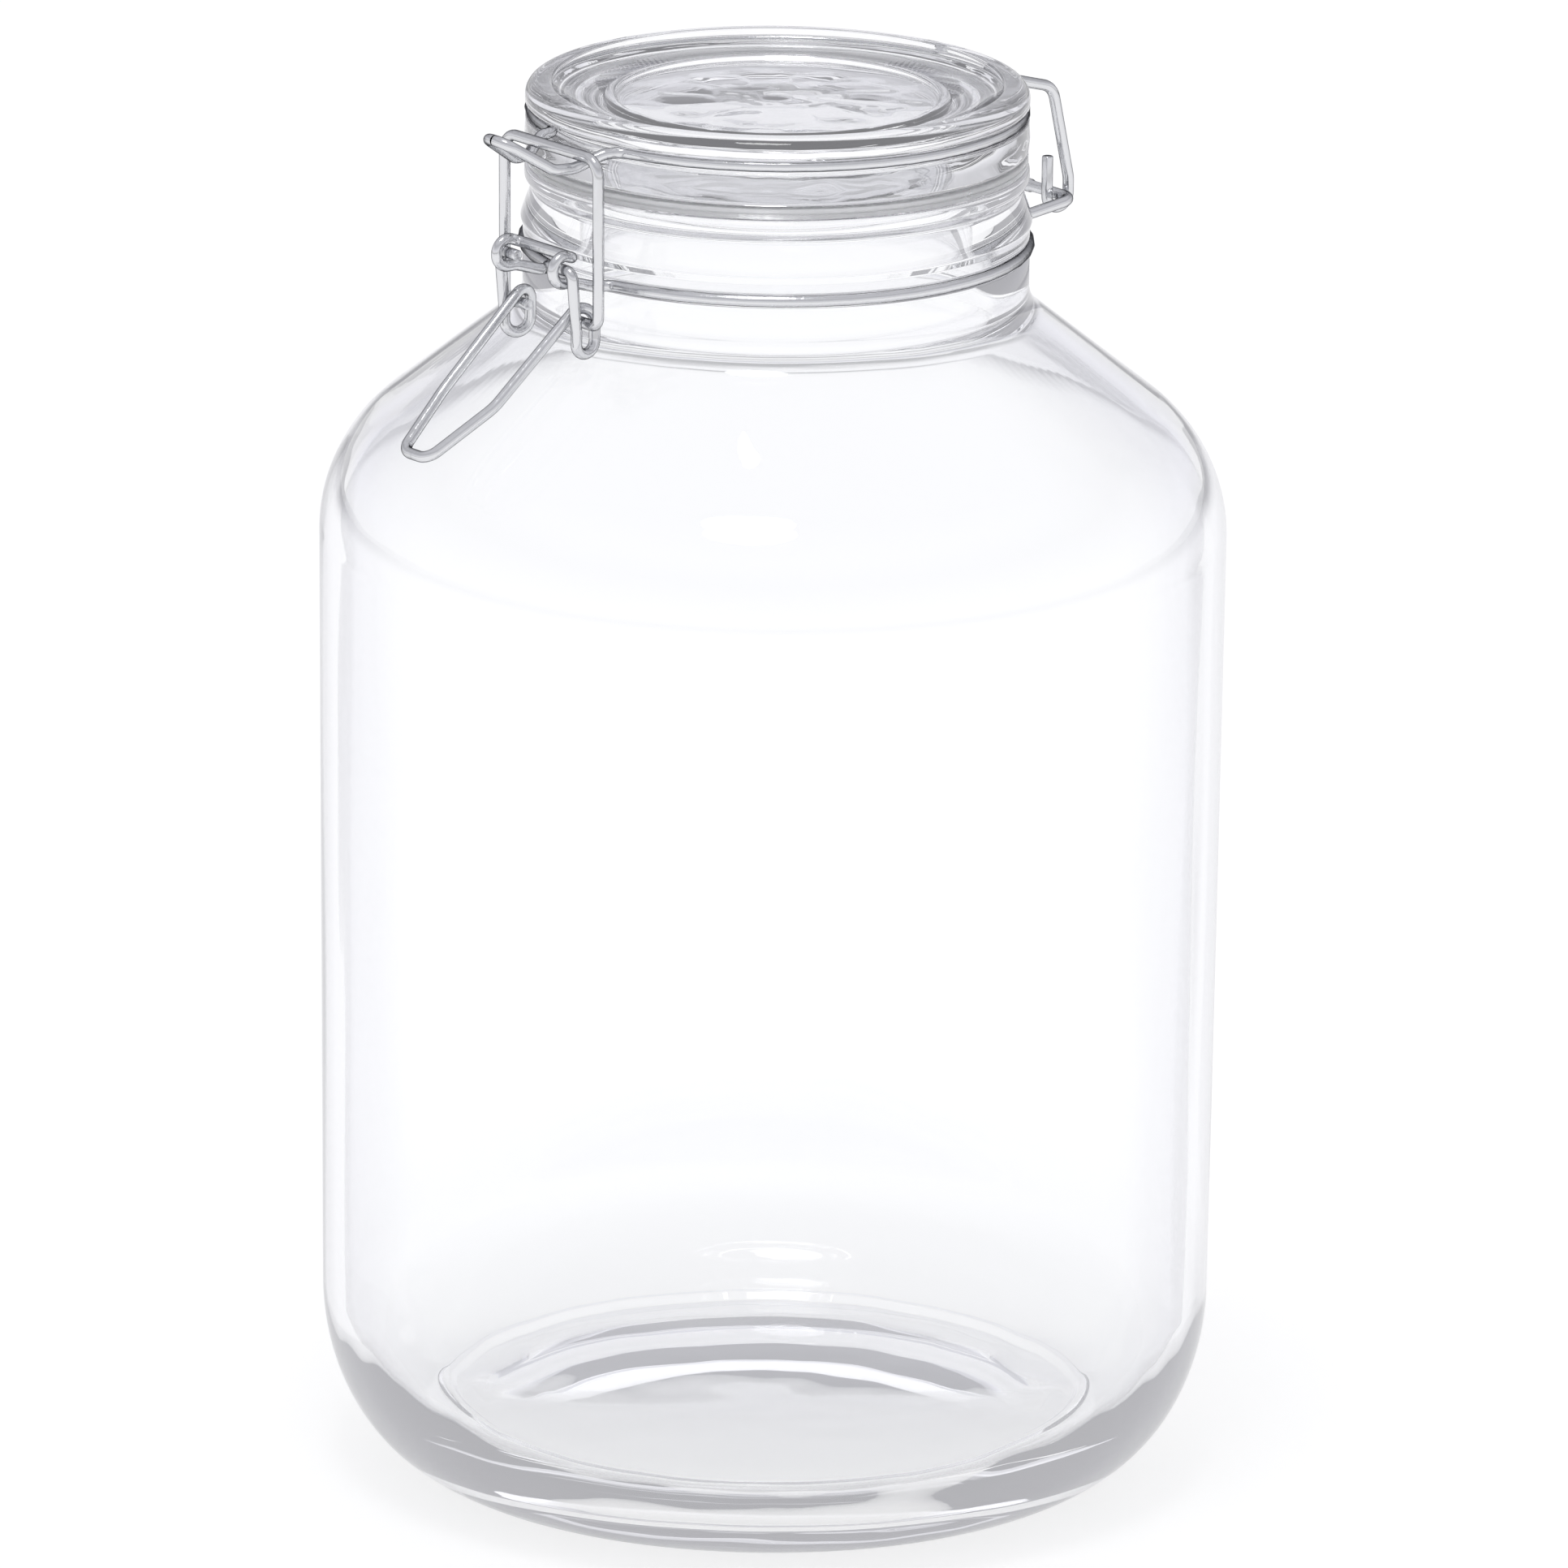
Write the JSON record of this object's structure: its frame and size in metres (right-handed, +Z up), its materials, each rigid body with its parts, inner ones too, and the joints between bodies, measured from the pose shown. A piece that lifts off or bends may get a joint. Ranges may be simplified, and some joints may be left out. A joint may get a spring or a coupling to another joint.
{
  "type": "clip-top glass canister",
  "caption": "Round glass storage jar with a hinged glass lid, a clear sealing ring and a wire bail closed by a thumb lever.",
  "frame": {"origin": "centre of the jar's foot, on the surface that the canister stands on", "axes": "+Z up along the jar's axis, the clasp faces -Y, the hinge is at +Y"},
  "size_m": [0.177, 0.1779, 0.2786],
  "materials": {
    "clear_glass": "clear, smooth, slightly wavy pressed glass",
    "clear_seal": "milky translucent silicone",
    "steel_wire": "bright drawn wire"
  },
  "bodies": {
    "jar": {"jar_glass": "clear_glass", "neck_wire": "steel_wire"},
    "lid": {"lid_glass": "clear_glass", "gasket": "clear_seal", "lid_wire": "steel_wire"},
    "lever": {"lever_wire": "steel_wire"},
    "bail": {"bail_wire": "steel_wire"}
  },
  "joints": [
    {"name": "lid_hinge", "type": "hinge", "parent": "jar", "child": "lid", "pos_m": [0, 0.064, 0.24846], "axis": [-1, 0, 0], "range_deg": [0, 170]},
    {"name": "lever_pivot", "type": "hinge", "parent": "jar", "child": "lever", "pos_m": [0, -0.0593, 0.25156], "axis": [-1, 0, 0], "range_deg": [0, 125]},
    {"name": "bail_pivot", "type": "hinge", "parent": "lever", "child": "bail", "pos_m": [0, -0.0554, 0.24086], "axis": [-1, 0, 0], "range_deg": [-100, 0]}
  ],
  "couplings": [
    {"joint": "bail_pivot", "follows": "lever_pivot", "ratio": -0.8}
  ]
}
